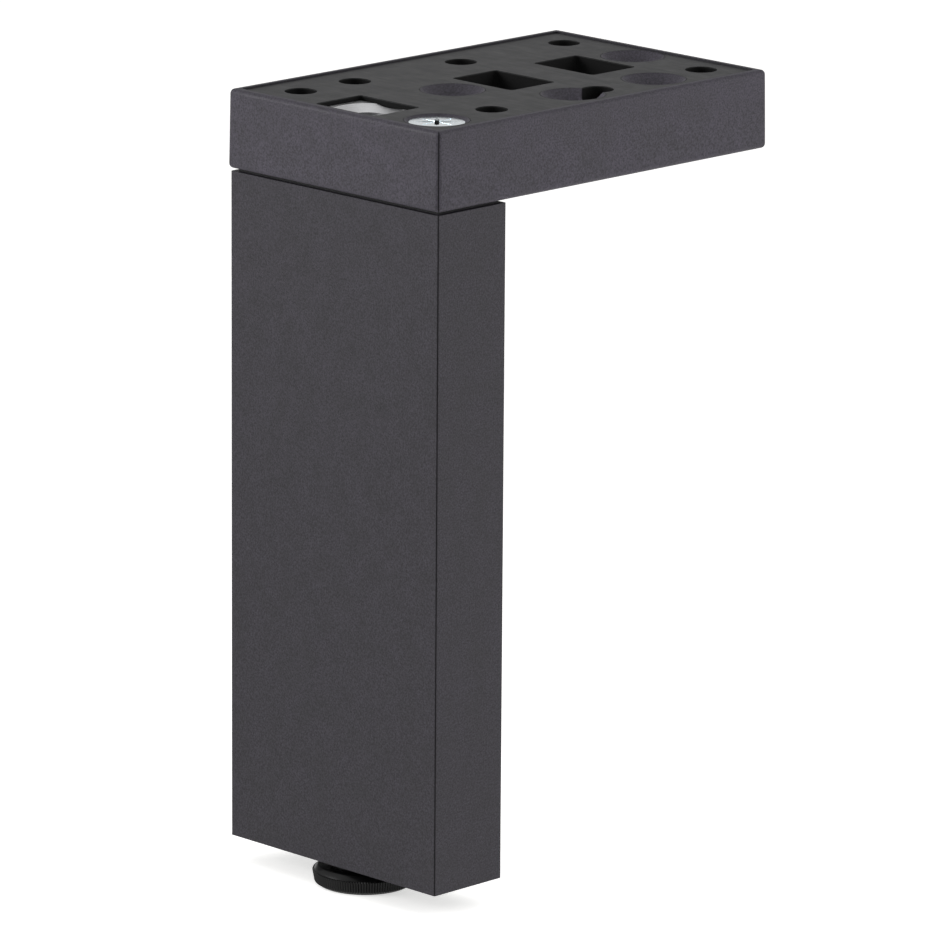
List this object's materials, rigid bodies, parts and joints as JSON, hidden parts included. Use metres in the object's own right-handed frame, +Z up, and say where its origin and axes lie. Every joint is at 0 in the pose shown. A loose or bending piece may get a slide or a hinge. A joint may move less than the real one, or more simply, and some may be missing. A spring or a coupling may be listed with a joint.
{
  "type": "adjustable furniture leg",
  "caption": "Inverted L-shaped furniture leg: a rectangular column under one end of a flat fixing plate, with a ribbed screw foot that sets its height.",
  "frame": {"origin": "on the floor, at the middle of the foot disc's floor face", "axes": "+Z up the column to the furniture, +X along the plate's overhang, Y across the column's broad side"},
  "size_m": [0.0946, 0.0604, 0.161],
  "materials": {
    "graphite_moulding": "fine-grained graphite paint on a moulding",
    "black_moulding": "smooth black moulding",
    "graphite_aluminium": "fine-grained graphite coating on an extrusion",
    "bare_casting": "satin bare cast metal with turning marks",
    "zinc_plate": "bright zinc plating",
    "brass_bush": "turned brass",
    "steel_stud": "zinc plated rolled thread",
    "foot_black": "black moulded plastic with a slight gloss"
  },
  "bodies": {
    "leg": {"plate_shell": "graphite_moulding", "plate_insert": "black_moulding", "seat_gasket": "black_moulding", "column": "graphite_aluminium", "column_head": "bare_casting", "plate_screw": "zinc_plate", "foot_plug": "black_moulding", "foot_bush": "brass_bush"},
    "stud": {"foot_stud": "steel_stud"},
    "foot": {"foot_disc": "foot_black"}
  },
  "joints": [
    {"name": "foot_height", "type": "slide", "parent": "leg", "child": "stud", "axis": [0, 0, -1], "range_m": [0, 0.015]},
    {"name": "foot_turn", "type": "hinge", "parent": "stud", "child": "foot", "pos_m": [0, 0, 0], "axis": [0, 0, -1], "range_deg": [0, 3600]}
  ],
  "couplings": [
    {"joint": "foot_turn", "follows": "foot_height", "rad_per_m": 4188.8}
  ]
}
